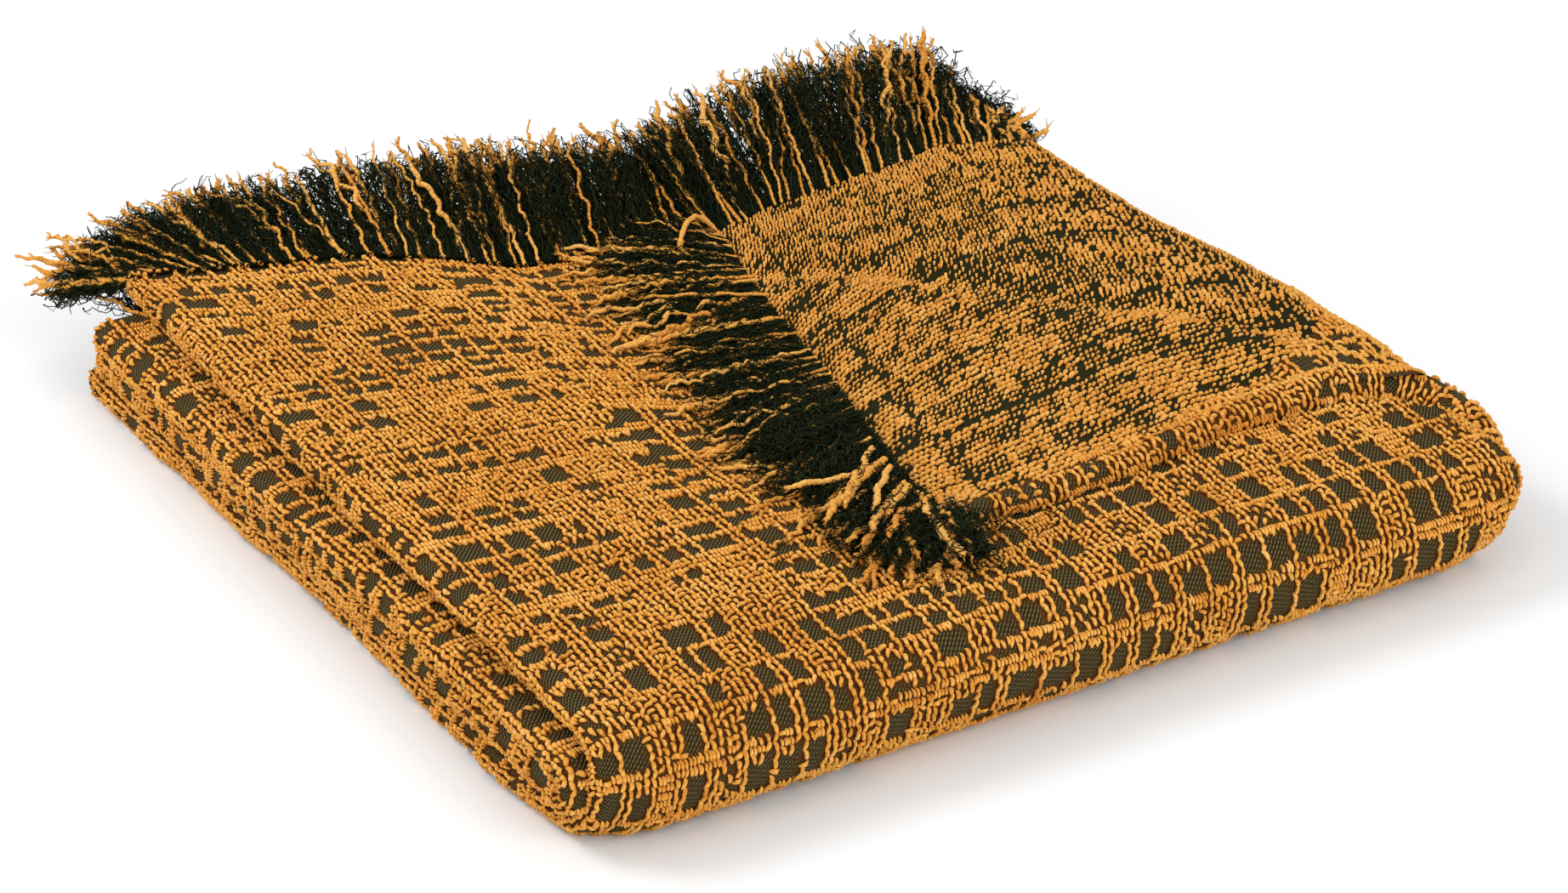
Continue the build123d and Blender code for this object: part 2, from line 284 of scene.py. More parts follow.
cuff_path, CUFF_L = polyline([(-24, -161, 54), (-10, -163, 55.0), (14, -165, 55.6), (40, -165, 55.8), (64, -163, 56.0), (93, -158, 55.8),
                              (122, -153, 55.0), (150, -150, 53.4), (173, -149, 51.4), (190, -151, 49.6), (203, -157, 47.4), (212, -167, 44.4),
                              (217, -180, 40.0), (218, -193, 34.0), (214, -203, 27.0)], 10.0)
cuff_rad = np.array([[0.0, 2.4], [0.06, 3.6], [0.2, 4.3], [0.4, 5.0], [0.52, 5.8], [0.62, 7.6], [0.70, 9.4], [0.78, 10.8], [0.86, 11.6], [0.94, 11.4], [1.0, 9.5]])


def cuff_r(u):
    return np.interp(u / CUFF_L, cuff_rad[:, 0], cuff_rad[:, 1])


def a_side(u):
    """How far the patchwork face reaches back over the flap, at each u of the flap."""
    return np.interp(u, [0, 60, 120, 160, 185, 205, 222, 260], [2.0, 5.0, 9.0, 17.0, 30.0, 62.0, 105.0, 130.0])


def cuff(u, v):
    """Roll of the patchwork face along the flap's front rim.  u along it, v round it."""
    t = u / CUFF_L
    C = along(cuff_path, t)
    T = along(cuff_path, t + 0.01) - along(cuff_path, t - 0.01)
    T /= np.linalg.norm(T, axis=-1, keepdims=True)
    side = np.cross(T, np.array([0, 0, 1.0]))
    side /= np.linalg.norm(side, axis=-1, keepdims=True)
    up = np.cross(side, T)
    r = cuff_r(u)
    ang = 0.9 + (v - 35.0) / 35.0 * math.pi
    k = 1 + 0.08 * n2(u / 18.0, ang)
    return C + side * (r * 1.08 * k * np.sin(ang))[..., None] + up * (r * k * np.cos(ang))[..., None]


def back_wall(u, v):
    """The ends of the two upper runs behind the fringe."""
    x = u
    t = np.clip(v / 34.0, 0, 1)
    y0, y1 = back_edge(x) + 0.5, np.interp(x, [-240, 240], [200.0, 150.0])
    y = y0 + (y1 - y0) * smooth(t, 0.1, 0.95) + 2.5 * np.sin(t * math.pi) + 0.8 * n2(x / 20.0, t * 3)
    z = H - 1.0 - (H - 24.0) * t ** 1.15
    # rounds the right corner and runs along the side, behind the rolls of the outer runs
    side = smooth(u, 206, 236)
    z = z * (1 - side) + (45.0 - 39.0 * t) * side
    psi = np.clip((u - 198.0) / 13.0, 0, math.pi / 2)
    x = np.where(u > 198, 198.0 + 13.0 * np.sin(psi), np.clip(x, -206, 212))
    y = y - 13.0 * (1 - np.cos(psi)) - np.clip(u - 198.0 - 13.0 * math.pi / 2, 0, None)
    x = x + side * (1.2 * n2(u / 26.0, t * 3) - 1.5 * np.clip((u - 430.0) / 40.0, 0, 1))
    return np.stack([x, y, z], -1)


def back_roll(u, v):
    """Fold at the back that joins the bottom and second runs."""
    r = RUN + 0.6
    a = np.clip(v / r, 0, math.pi)
    e = np.clip(1 - ((np.abs(u) - 206.0) / 17.0).clip(0, 1) ** 2, 0, 1) ** 0.5
    y = low_back_edge(u) - 3.0 + (r * np.sin(a)) * (0.25 + 0.75 * e) + 0.9 * n2(u / 24.0, a)
    z = r + 0.3 + r * np.cos(a) * (0.15 + 0.85 * e)
    return np.stack([u - 8.0 * smooth(u, 150, 223), y, z], -1)


ARC = math.pi * R_OUT
S_out = Surf(outer, -SL - 8, XR0 - XL + 24 * math.pi / 2, -LT, ARC + LT, 2.0, flip=False)
S_in = Surf(inner, -SL - 14, 20, -LT, math.pi * (RUN + 0.15) + LT, 2.0)
S_flap = Surf(flap, 0, FW + 30 * math.pi / 2 + 8, 0, FD, 2.0)
S_cuff = Surf(cuff, 0, CUFF_L, 0, 70, 1.6)


class Round:
    """The cuff addressed by true length round it: 35 faces forwards and up."""

    def at(self, u, v, w):
        return S_cuff.at(u, 35 + (v - 35) * 35 / (math.pi * cuff_r(u)), w)
S_wall = Surf(back_wall, -222, 476, 0, 34, 2.0)
S_roll = Surf(back_roll, -223, 223, 0, math.pi * (RUN + 0.6), 2.0)


def face_out(s, probe, want):
    """Turn the normals so that the one nearest probe points along want."""
    d = np.linalg.norm(s.P - np.array(probe), axis=2)
    i = np.unravel_index(d.argmin(), d.shape)
    if s.N[i] @ np.array(want) < 0:
        s.N = -s.N
        s.flipped = True
    else:
        s.flipped = False


face_out(S_out, (0, 0, H), (0, 0, 1))
face_out(S_in, (-260, 0, 34), (-1, 0, 0))
face_out(S_flap, (120, 0, 57), (0, 0, 1))
face_out(S_cuff, (64, -163, 62), (0, 0, 1))
face_out(S_wall, (0, 140, 36), (0, 1, 0))
face_out(S_roll, (0, 190, 13), (0, 1, 0))


# --------------------------------------------------------- weave of the cloth
def runs(rng, n, sizes):
    """Lengths drawn from sizes that fill n places."""
    out, k = [], 0
    while k < n:
        w = int(rng.choice(sizes))
        out.append((k, min(n, k + w)))
        k += w
    return out


def plan(seed, nc, nr, tall, low, wide=0.72):
    """Cell kinds: 0 dark patch, 1 yarn along v, 2 yarn along u, 3 short loop of a solid area."""
    rng = np.random.default_rng(seed)
    k = np.full((nc, nr), 2)
    m1, m2 = Noise(seed + 5), Noise(seed + 9)

    def columns(r):
        """Windows (start, end) along u with chains of one to three yarns between them."""
        out, c = [], 0
        fold = tall <= r < low + 6
        while c < nc:
            w = int(rng.choice([2, 2, 3, 3] if fold else [1, 2, 2, 3, 3, 3, 4]))
            out.append((c, min(nc, c + w)))
            c += w + int(rng.choice([1, 2, 2] if fold else [1, 1, 1, 2, 2, 3]))
        return out

    r, left, wins = 0, 0, columns(0)
    while r < nr:
        h = int(rng.choice([4, 4, 5, 6] if tall <= r < low else [2, 2, 3] if low <= r < low + 6 else [1, 2, 2, 3, 3, 4]))
        if left == 0:
            wins, left = columns(r), int(rng.choice([2, 3, 4]))
        left -= 1
        r1 = min(nr, r + h)
        k[:, r:r1] = 1
        for a, b in wins:
            thick = float(m1(a / 15.0, r / 13.0) + 0.45 * m2(a / 6.0, r / 6.0))
            d = rng.random()
            p_open = wide - (0.55 if tall <= r < low + 6 else 0.75) * max(0.0, thick + 0.02) - 0.12 * (b - a == 1)
            s0, s1, t0, t1 = a, b, r, r1
            if d < p_open:
                e = rng.random()
                if b - a > 2 and e < 0.22:
                    s0 += 1
                elif b - a > 3 and e < 0.42:
                    k[a:b, r:r1] = 0
                    k[a + 1 + int(rng.integers(0, b - a - 2)), r:r1] = 1
                    continue
                if r1 - r > 2 and rng.random() < 0.25:
                    t0 += 1
                k[s0:s1, t0:t1] = 0
            elif d < p_open + 0.10:
                # a loose lattice: every other yarn missing
                for i in range(a, b):
                    for j in range(r, r1):
                        k[i, j] = 0 if (i + j) % 2 and rng.random() < 0.75 else 1
            elif d < p_open + 0.15:
                k[a:b, r:r1] = 2
            else:
                k[a:b, r:r1] = 3
        # now and then a chain between windows is missing
        for (a, b), (c, e) in zip(wins[:-1], wins[1:]):
            if c - b > 1 and rng.random() < 0.15:
                k[b, r:r1] = 0
        gap = int(rng.choice([1, 1, 1, 2, 2, 3]))
        for (a, b), (c, e) in zip(wins[:-1], wins[1:]):
            if rng.random() < 0.60:
                k[b:c, r1:min(nr, r1 + gap)] = 1
        r = r1 + gap
    line = k == 2
    k = np.where(line & (rng.random((nc, nr)) < 0.42), 3, k)
    k = np.where((k == 1) & (rng.random((nc, nr)) < 0.16), 3, k)
    return k


def floats(S, cu, cv, lu, lv, ru, rw, base, rings=5, sides=6, bend=0.0, rnd=None):
    """Short bowed yarn floats on a sheet.  Centres (cu, cv), half vectors (lu, lv), half width ru, half height rw."""
    n = len(cu)
    t = np.linspace(-1, 1, rings)
    a = np.arange(sides) / sides * 2 * math.pi + math.pi / sides
    ln = np.hypot(lu, lv)
    du, dv = lu / ln, lv / ln
    T = t[None, :, None]
    prof = np.sqrt(np.clip(1 - 0.93 * np.abs(T) ** 2.6, 0.02, 1))
    side = ru[:, None, None] * prof * np.cos(a)[None, None, :]
    s = bend * ln[:, None, None] * np.sin(T * math.pi) + side
    uu = cu[:, None, None] + lu[:, None, None] * T - dv[:, None, None] * s
    vv = cv[:, None, None] + lv[:, None, None] * T + du[:, None, None] * s
    w = base[:, None, None] + rw[:, None, None] * (1.25 * np.cos(T * math.pi / 2) ** 0.8 - 0.35 + prof * np.sin(a)[None, None, :])
    P = S.at(uu, vv, w)
    idx = np.arange(n * rings * sides).reshape(n, rings, sides)
    q = np.stack([idx[:, :-1, :], np.roll(idx[:, :-1, :], -1, 2), np.roll(idx[:, 1:, :], -1, 2), idx[:, 1:, :]], -1).reshape(-1, 4)
    uv = np.stack([np.broadcast_to(T * ln[:, None, None], P.shape[:3]),
                   np.broadcast_to(np.arange(sides)[None, None, :] / sides, P.shape[:3])], -1).reshape(-1, 2)
    r = np.broadcast_to((rnd if rnd is not None else np.zeros(n))[:, None, None], P.shape[:3]).ravel()
    return P.reshape(-1, 3), q, uv, r


class Bag:
    """Gathers mesh parts into one object."""

    def __init__(self):
        self.V, self.F, self.UV, self.A, self.n = [], [], [], [], 0

    def add(self, P, q, uv, a=None):
        self.V.append(P)
        self.F.append(q + self.n)
        self.UV.append(uv)
        self.A.append(np.zeros(len(P)) if a is None else a)
        self.n += len(P)

    def make(self, name, mat, flip=False):
        V = np.concatenate(self.V) * MM
        V[:, 2] = np.maximum(V[:, 2], 0.00015 + 0.02 * np.clip(V[:, 2] + 0.003, 0, 0.003))
        F = np.concatenate(self.F).astype(np.int32)
        if flip:
            F = F[:, ::-1].copy()
        UV, A = np.concatenate(self.UV), np.concatenate(self.A)
        m = bpy.data.meshes.new(name)
        m.vertices.add(len(V))
        m.vertices.foreach_set("co", V.astype(np.float32).ravel())
        m.loops.add(F.size)
        m.loops.foreach_set("vertex_index", F.ravel())
        m.polygons.add(len(F))
        m.polygons.foreach_set("loop_start", np.arange(0, F.size, F.shape[1], dtype=np.int32))
        m.update(calc_edges=True)
        m.polygons.foreach_set("use_smooth", np.ones(len(F), bool))
        layer = m.uv_layers.new(name="cloth")
        layer.data.foreach_set("uv", (UV[F.ravel()] * MM if mat is not None else UV[F.ravel()]).astype(np.float32).ravel())
        att = m.attributes.new("shade", "FLOAT", "POINT")
        att.data.foreach_set("value", A.astype(np.float32))
        if mat:
            m.materials.append(mat)
        m.validate()
        o = bpy.data.objects.new(name, m)
        bpy.context.scene.collection.objects.link(o)
        return o


def cell_kinds(kinds, C, R, c_off, r_off):
    return kinds[(C + c_off) % kinds.shape[0], (R + r_off) % kinds.shape[1]]


def ground(kinds, U, V, c_off, r_off):
    """How much golden yarn lies over each point of the ground cloth; the twill paints golden-brown there, partly the
    lower golden yarns and partly painted shade under the floats.
    """
    f = lambda du, dv: cell_kinds(kinds, np.floor((U + du) / PU).astype(int), np.floor((V + dv) / PV).astype(int), c_off, r_off) > 0
    return (f(0, 0) * 0.4 + f(0.8, 0) * 0.15 + f(-0.8, 0) * 0.15 + f(0, 0.8) * 0.15 + f(0, -0.8) * 0.15).astype(float)


def weave_a(bag, S, u0, u1, v0, v1, seed, keep=None, c_off=0, r_off=0, kinds=None, fat=1.0, fill=0.0):
    """Golden yarns of the patchwork face over a stretch of cloth."""
    c0, c1 = int(math.ceil(u0 / PU)), int(math.floor(u1 / PU))
    r0, r1 = int(math.ceil(v0 / PV)), int(math.floor(v1 / PV))
    C, R = np.meshgrid(np.arange(c0, c1), np.arange(r0, r1), indexing="ij")
    k = cell_kinds(kinds, C, R, c_off, r_off)
    up = cell_kinds(kinds, C, R + 1, c_off, r_off)
    dn = cell_kinds(kinds, C, R - 1, c_off, r_off)
    rng = np.random.default_rng(seed)
    if fill:
        k = np.where((k == 0) & (rng.random(k.shape) < fill), 3, k)
    u, v = (C + 0.5) * PU, (R + 0.5) * PV
    on = k > 0
    if keep is not None:
        on &= keep(u, v)
    shp = u.shape
    j = lambda s: rng.normal(0, s, shp)
    chain, line, loop = k == 1, k == 2, k == 3
    tw = n1(C / 9.0 + 3, R / 8.0)
    lying = loop & (rng.random(shp) < 0.26)
    zig = np.where((R + C) % 2 == 0, 1.0, -0.55)
    lean = np.where(rng.random(shp) < 0.80, 1.0, -0.8)
    ln = np.where(chain, 0.66 + j(0.07), np.where(line, 0.52 + j(0.06), 0.61 + j(0.06))) * PV
    ang = np.where(chain, 0.42 * zig + j(0.09), np.where(line, 0.34 + j(0.15), 0.46 * lean + j(0.16))) + 0.08 * tw
    lu = np.where(lying, np.cos(ang * 0.7) * PU * 0.66, np.sin(ang) * ln)
    lv = np.where(lying, -np.sin(ang * 0.7) * PU * 0.66, np.cos(ang) * ln)
    cu = u + j(0.06) * PU
    cv = v + j(0.06) * PV + np.where(chain | loop, 0.14 * PV * np.where(C % 2 == 0, 1, -1), 0)
    ru = np.where(chain, 0.96, np.where(line, 0.80, 0.98)) * fat * (1 + j(0.09))
    rw = np.where(line, 0.74, 0.82) * (1 + j(0.10))
    base = 0.30 + 0.22 * chain + j(0.12)
    shade = np.clip(0.5 + j(0.24) + 0.25 * tw, 0, 1)
    # teeth of yarn that reach into the dark patches above and below
    tooth = on & (k == 2) & ((up == 0) | (dn == 0)) & (rng.random(shp) < np.where(up == 0, 0.70, 0.30))
    # a line is two standing stitches to each place; other kinds have one
    sgn = np.where(up == 0, 1.0, -1.0)
    for sel, du, dv, a_lu, a_lv, a_ru, up_ in ((on & ~line, 0.0, 0.0, lu, lv, ru, 0.0),
                                               (on & line, -0.25 * PU, 0.0, lu, lv, ru, 0.0),
                                               (on & line, 0.25 * PU, 0.05 * PV, lu * 0.8, lv * 1.06, ru, 0.06),
                                               (tooth, 0.0, sgn * 0.36 * PV, lu * 0.5, lv * 0.92, ru * 0.94, 0.1)):
        a = sel.ravel()
        if not a.any():
            continue
        g = lambda x: x.ravel()[a]
        P, q, uv, rr = floats(S, g(cu + du), g(cv + dv), g(a_lu), g(a_lv), g(a_ru), g(rw), g(base + up_), 6, 5, 0.10, g(shade))
        bag.add(P, q, uv, rr)


def weave_b(bag, S, u0, u1, v0, v1, seed):
    """Golden dashes of the heathered face."""
    c0, c1 = int(math.ceil(u0 / PBX)), int(math.floor(u1 / PBX))
    r0, r1 = int(math.ceil((v0 - 40) / PBY)), int(math.floor(v1 / PBY))
    nc, nr = c1 - c0, r1 - r0
    rng = np.random.default_rng(seed)
    kind = np.zeros((nc, nr), int)          # 0 dots, 1 solid, 2 nearly bare
    m1 = Noise(seed + 2)
    cb = runs(rng, nc, [1, 1, 2, 2, 3, 4, 5])
    cdark = [b - a == 1 and rng.random() < 0.75 for a, b in cb]
    rows_ = runs(rng, nr, [1, 1, 2, 2, 3])
    cbias = rng.uniform(-0.16, 0.16, len(cb))
    for a, b in rows_:
        thin = b - a == 1
        rowkind, rbias = rng.random(), rng.uniform(-0.26, 0.26)
        for n_, ((c, d), dark) in enumerate(zip(cb, cdark)):
            x = rng.random() + 0.30 * float(m1(c / 16.0, a / 13.0)) + rbias + cbias[n_]
            if thin and rowkind < 0.40:
                kd = 2 if x < 0.70 else 0
            elif thin and rowkind < 0.62:
                kd = 1 if x < 0.85 else 0
            else:
                kd = 1 if x < 0.46 else 0
            if dark:
                kd = 2 if rng.random() < 0.70 else 0
            kind[c:d, a:b] = kd
    C, R = np.meshgrid(np.arange(nc), np.arange(nr), indexing="ij")
    shp = C.shape
    u, v = (C + c0 + 0.5 + 0.5 * (R % 2)) * PBX, (R + r0 + 0.5) * PBY
    k = crease(u, v)
    v = v + 0.16 * np.clip(k, 0, None) * smooth(k, 0, 8)
    on = rng.random(shp) < np.choose(kind, [0.84, 0.975, 0.26])
    on &= (v > v0) & (v < v1 - 0.5) & (v > a_side(u) - 1)
    solid = kind == 1
    j = lambda s: rng.normal(0, s, shp)
    far = smooth(k, -5, 9)
    ln = np.where(solid, 0.74 + j(0.09), 0.42 + j(0.07)) * PBX * (1 + 0.22 * far)
    ang = 0.30 + 0.72 * far + j(0.14)
    cu, cv = u + j(0.14) * PBX, v + j(0.10) * PBY
    ru = np.where(solid, 0.345 - 0.04 * far, 0.235 - 0.01 * far) * PBY * (1 + j(0.10)) * 0.92
    rw = np.where(solid, 0.74, 0.62) + 0.05 * j(1)
    shade = np.clip(0.5 + j(0.24), 0, 1)
    a = on.ravel()
    g = lambda x: x.ravel()[a]
    P, q, uv, rr = floats(S, g(cu), g(cv), g(np.cos(ang) * ln), g(np.sin(ang) * ln), g(ru), g(rw), g(0.15 + 0 * ru), 5, 6, 0.04, g(shade))
    bag.add(P, q, uv, rr)


# ---------------------------------------------------------------- materials
def mat_new(name):
    m = bpy.data.materials.new(name)
    m.use_nodes = True
    nt = m.node_tree
    nt.nodes.clear()
    out = nt.nodes.new("ShaderNodeOutputMaterial")
    b = nt.nodes.new("ShaderNodeBsdfPrincipled")
    nt.links.new(b.outputs["BSDF"], out.inputs["Surface"])
    return m, nt, b


def node(nt, kind, **kw):
    n = nt.nodes.new(kind)
    for k, v in kw.items():
        if k.startswith("i_"):
            key = k[2:]
            n.inputs[int(key) if key.isdigit() else key].default_value = v
        else:
            setattr(n, k, v)
    return n


def math_node(nt, op, a, b=None, clamp=False):
    n = nt.nodes.new("ShaderNodeMath")
    n.operation = op
    n.use_clamp = clamp
    for i, x in enumerate((a, b)):
        if x is None:
            continue
        if isinstance(x, (int, float)):
            n.inputs[i].default_value = x
        else:
            nt.links.new(x, n.inputs[i])
    return n.outputs[0]


def ramp(nt, fac, stops):
    r = nt.nodes.new("ShaderNodeValToRGB")
    el = r.color_ramp.elements
    el[0].position, el[0].color = stops[0][0], (*stops[0][1], 1)
    el[1].position, el[1].color = stops[-1][0], (*stops[-1][1], 1)
    for p, c in stops[1:-1]:
        e = el.new(p)
        e.color = (*c, 1)
    nt.links.new(fac, r.inputs["Fac"])
    return r.outputs["Color"]


def golden(name, deep=1.0):
    """Soft twisted golden yarn: plies run round it, each float a little different, darker and redder where plies and
    fibres dip and yellower where they rise, which is painted shade and painted highlight.
    """
    m, nt, b = mat_new(name)
    uv = node(nt, "ShaderNodeUVMap", uv_map="cloth")
    sep = node(nt, "ShaderNodeSeparateXYZ")
    nt.links.new(uv.outputs[0], sep.inputs[0])
    obj = node(nt, "ShaderNodeTexCoord")
    att = node(nt, "ShaderNodeAttribute", attribute_name="shade")
    # plies: stripes that climb round the yarn
    ply = math_node(nt, "SINE", math_node(nt, "ADD", math_node(nt, "MULTIPLY", sep.outputs[0], 2 * math.pi / 0.0021),
                                          math_node(nt, "MULTIPLY", sep.outputs[1], 2 * math.pi / MM)))
    ply01 = math_node(nt, "MULTIPLY_ADD", ply, 0.5)
    ply01.node.inputs[2].default_value = 0.5
    fine = node(nt, "ShaderNodeTexNoise", i_Scale=950.0, i_Detail=4.0, i_Roughness=0.7)
    nt.links.new(obj.outputs["Object"], fine.inputs["Vector"])
    broad = node(nt, "ShaderNodeTexNoise", i_Scale=30.0, i_Detail=2.0)
    nt.links.new(obj.outputs["Object"], broad.inputs["Vector"])
    mix = math_node(nt, "ADD", math_node(nt, "MULTIPLY", att.outputs["Fac"], 0.30),
                    math_node(nt, "ADD", math_node(nt, "MULTIPLY", fine.outputs["Fac"], 0.62),
                              math_node(nt, "ADD", math_node(nt, "MULTIPLY", broad.outputs["Fac"], 0.16), math_node(nt, "MULTIPLY", ply01, 0.16))))
    # the ramp's dark red end falls where the bump sinks and its pale end where it rises: painted shade and painted
    # highlight over each float's own tone
    col = ramp(nt, mix, [(0.28, (0.42 * deep, 0.115 * deep, 0.010)), (0.44, (0.70 * deep, 0.265 * deep, 0.026)), (0.58, (0.86 * deep, 0.375 * deep, 0.048)),
                         (0.74, (0.95 * deep, 0.475 * deep, 0.088)), (0.96, (1.0 * deep, 0.62 * deep, 0.20))])
    nt.links.new(col, b.inputs["Base Color"])
    b.inputs["Roughness"].default_value = 0.66
    b.inputs["Specular IOR Level"].default_value = 0.22
    b.inputs["Sheen Weight"].default_value = 0.12
    b.inputs["Sheen Roughness"].default_value = 0.45
    b.inputs["Sheen Tint"].default_value = (1.0, 0.70, 0.34, 1)
    h = math_node(nt, "ADD", math_node(nt, "MULTIPLY", ply01, 0.8), math_node(nt, "MULTIPLY", fine.outputs["Fac"], 1.3))
    bump = node(nt, "ShaderNodeBump", i_Strength=0.75, i_Distance=0.0005)
    nt.links.new(h, bump.inputs["Height"])
    nt.links.new(bump.outputs[0], b.inputs["Normal"])
    return m


def twill(name, dark, mid, light, lower_yarn_and_shade, pitch=1.9):
    """Fine dark twill: diagonal ribs of small stitches, painted lighter on their crests and darker in their grooves;
    golden-brown where golden yarn lies over it, partly its lower golden yarns and partly painted shade under the
    floats.
    """
    m, nt, b = mat_new(name)
    uv = node(nt, "ShaderNodeUVMap", uv_map="cloth")
    sep = node(nt, "ShaderNodeSeparateXYZ")
    nt.links.new(uv.outputs[0], sep.inputs[0])
    att = node(nt, "ShaderNodeAttribute", attribute_name="shade")
    k = 2 * math.pi / (pitch * MM)
    wob = node(nt, "ShaderNodeTexNoise", i_Scale=300.0, i_Detail=2.0)
    nt.links.new(uv.outputs[0], wob.inputs["Vector"])
    shift = math_node(nt, "MULTIPLY", wob.outputs["Fac"], 2.4)
    d1 = math_node(nt, "SINE", math_node(nt, "ADD", math_node(nt, "MULTIPLY", math_node(nt, "ADD", sep.outputs[0], math_node(nt, "MULTIPLY", sep.outputs[1], 0.85)), k), shift))
    d2 = math_node(nt, "SINE", math_node(nt, "ADD", math_node(nt, "MULTIPLY", math_node(nt, "SUBTRACT", math_node(nt, "MULTIPLY", sep.outputs[0], 0.35), sep.outputs[1]), k * 0.9), shift))
    rib = math_node(nt, "MULTIPLY_ADD", d1, 0.5)
    rib.node.inputs[2].default_value = 0.5
    st = math_node(nt, "MULTIPLY_ADD", d2, 0.5)
    st.node.inputs[2].default_value = 0.5
    h = math_node(nt, "MULTIPLY", rib, math_node(nt, "ADD", math_node(nt, "MULTIPLY", st, 0.6), 0.4))
    fine = node(nt, "ShaderNodeTexNoise", i_Scale=1500.0, i_Detail=3.0, i_Roughness=0.7)
    nt.links.new(uv.outputs[0], fine.inputs["Vector"])
    mix = math_node(nt, "ADD", math_node(nt, "MULTIPLY", h, 0.75), math_node(nt, "MULTIPLY", fine.outputs["Fac"], 0.42))
    # the colour follows the same rib height as the bump, dark in the grooves and light on the crests: painted shade and
    # painted highlight over the twill's own speckle
    col = ramp(nt, mix, [(0.16, dark), (0.50, mid), (0.95, light)])
    # where golden yarn lies over the ground the colour blends to golden-brown: partly the lower golden yarns, partly
    # painted shade and painted bounced light from the floats above
    blend = node(nt, "ShaderNodeMix", data_type="RGBA")
    nt.links.new(att.outputs["Fac"], blend.inputs[0])
    nt.links.new(col, blend.inputs[6])
    un = ramp(nt, fine.outputs["Fac"], [(0.3, tuple(c * 0.5 for c in lower_yarn_and_shade)), (0.7, lower_yarn_and_shade)])
    nt.links.new(un, blend.inputs[7])
    nt.links.new(blend.outputs[2], b.inputs["Base Color"])
    b.inputs["Roughness"].default_value = 0.85
    b.inputs["Specular IOR Level"].default_value = 0.10
    bump = node(nt, "ShaderNodeBump", i_Strength=1.0, i_Distance=0.0009)
    nt.links.new(math_node(nt, "ADD", h, math_node(nt, "MULTIPLY", fine.outputs["Fac"], 0.35)), bump.inputs["Height"])
    nt.links.new(bump.outputs[0], b.inputs["Normal"])
    return m


def fine_yarn(name):
    """Near-black green yarn, hairy."""
    m, nt, b = mat_new(name)
    obj = node(nt, "ShaderNodeTexCoord")
    att = node(nt, "ShaderNodeAttribute", attribute_name="shade")
    fine = node(nt, "ShaderNodeTexNoise", i_Scale=900.0, i_Detail=2.0)
    nt.links.new(obj.outputs["Object"], fine.inputs["Vector"])
    mix = math_node(nt, "ADD", math_node(nt, "MULTIPLY", att.outputs["Fac"], 0.6), math_node(nt, "MULTIPLY", fine.outputs["Fac"], 0.4))
    col = ramp(nt, mix, [(0.15, (0.0044, 0.0068, 0.0017)), (0.6, (0.0150, 0.0215, 0.0062)), (0.95, (0.042, 0.053, 0.017))])
    nt.links.new(col, b.inputs["Base Color"])
    b.inputs["Roughness"].default_value = 0.75
    b.inputs["Specular IOR Level"].default_value = 0.10
    bump = node(nt, "ShaderNodeBump", i_Strength=0.4, i_Distance=0.0002)
    nt.links.new(fine.outputs["Fac"], bump.inputs["Height"])
    nt.links.new(bump.outputs[0], b.inputs["Normal"])
    return m


M_gold = golden("golden_yarn")
M_goldb = golden("golden_dashes", 0.96)
M_strand = golden("golden_strand", 0.98)
# the last colour of each is the golden-brown under the yarns: the lower golden yarns with painted shade
M_twill = twill("olive_twill", (0.014, 0.0092, 0.0024), (0.072, 0.051, 0.0150), (0.26, 0.195, 0.080), (0.17, 0.062, 0.010))
M_green = twill("green_ground", (0.0045, 0.0056, 0.0008), (0.025, 0.0240, 0.0040), (0.070, 0.062, 0.014), (0.05, 0.022, 0.004), 1.5)
M_hair = fine_yarn("dark_green_yarn")

# --------------------------------------------------------------- the cloth
K = plan(17, 380, 460, 153, 180)
# more and smaller patches on the rolls at the left side
K[26:52, 186:320] = plan(31, 26, 134, 999, 999, 1.02)
K[76:102, 0:262] = plan(37, 26, 262, 999, 999, 1.02)
u_top1 = XR0 - XL + 24 * math.pi / 2
OFF = dict(out=(40, 160), inn=(90, 120), cuff=(200, 30), wall=(250, 220), roll=(250, 300))

cloth = Bag()
P, q, uv = S_flap.grid(1, lambda u, v: v < a_side(u) + 1)
cloth.add(P + 0.12 * S_flap.N.reshape(-1, 3), q if not S_flap.flipped else q[:, ::-1], uv, ground(K, uv[:, 0], uv[:, 1], *OFF["cuff"]))
for s, off, every, part in ((S_out, "out", 1, lambda u, v: v < ARC + 30), (S_out, "out", 2, lambda u, v: v >= ARC + 28), (S_in, "inn", 1, None),
                            (S_cuff, "cuff", 1, None), (S_wall, "wall", 1, None), (S_roll, "roll", 1, None)):
    P, q, uv = s.grid(every, part)
    if s is S_cuff:
        uv = np.stack([uv[:, 0], 35 + (uv[:, 1] - 35) * math.pi * cuff_r(uv[:, 0]) / 35], 1)
    cloth.add(P, q if not s.flipped else q[:, ::-1], uv, ground(K, uv[:, 0], uv[:, 1], *OFF[off]))
